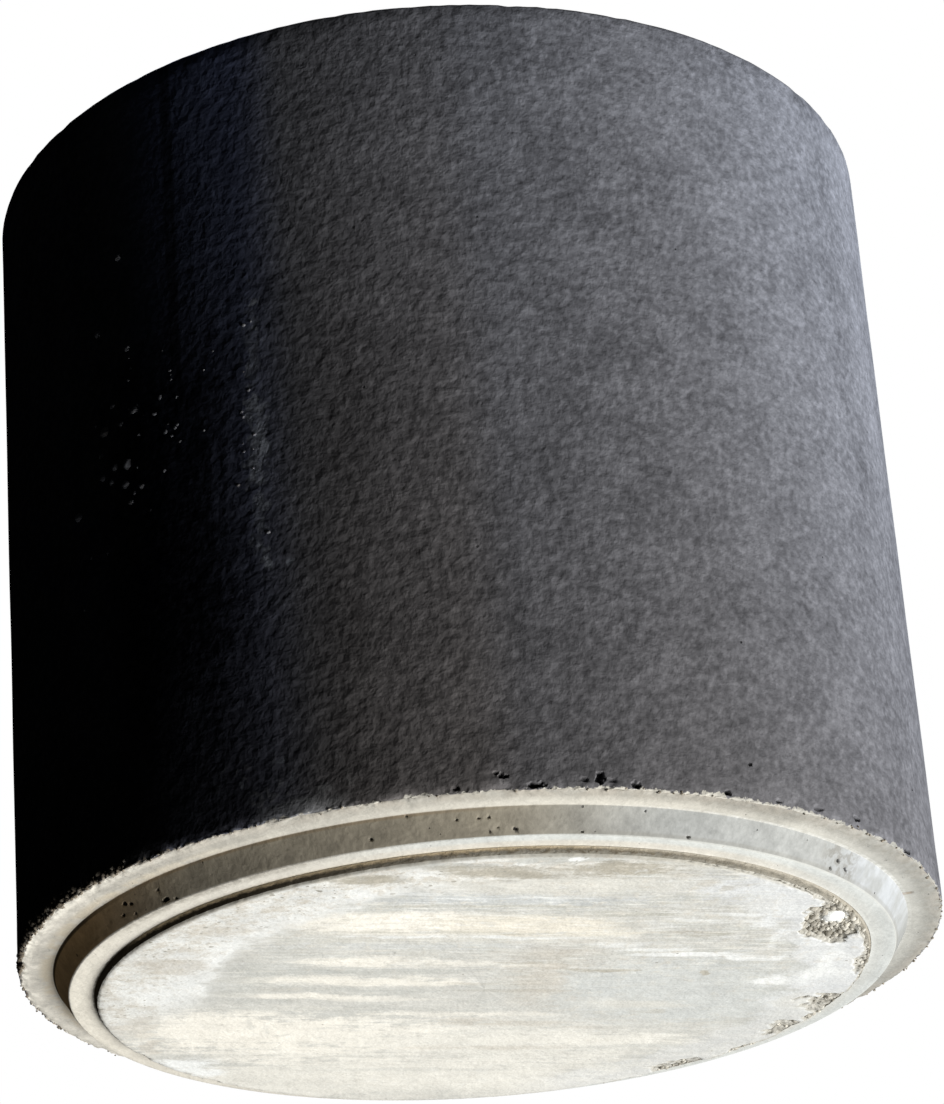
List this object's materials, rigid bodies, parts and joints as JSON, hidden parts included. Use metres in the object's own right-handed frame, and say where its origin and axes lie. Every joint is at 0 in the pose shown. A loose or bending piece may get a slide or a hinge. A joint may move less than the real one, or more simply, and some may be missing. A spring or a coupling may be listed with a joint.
{
  "type": "concrete sewer pipe",
  "caption": "Short upright cast concrete pipe, closed at its stepped spigot end and open at its socket end.",
  "frame": {"origin": "centre of the closed end's flat plug face, which the pipe stands on", "axes": "+Z along the pipe's axis, from the closed spigot end to the open socket end; X and Y are any two radii"},
  "size_m": [0.74, 0.74, 0.69],
  "materials": {
    "cast_concrete": "rough dry-cast concrete, dark grey outside, pale at the joint faces and the screeded end"
  },
  "bodies": {
    "root": {"pipe": "cast_concrete"}
  },
  "joints": []
}
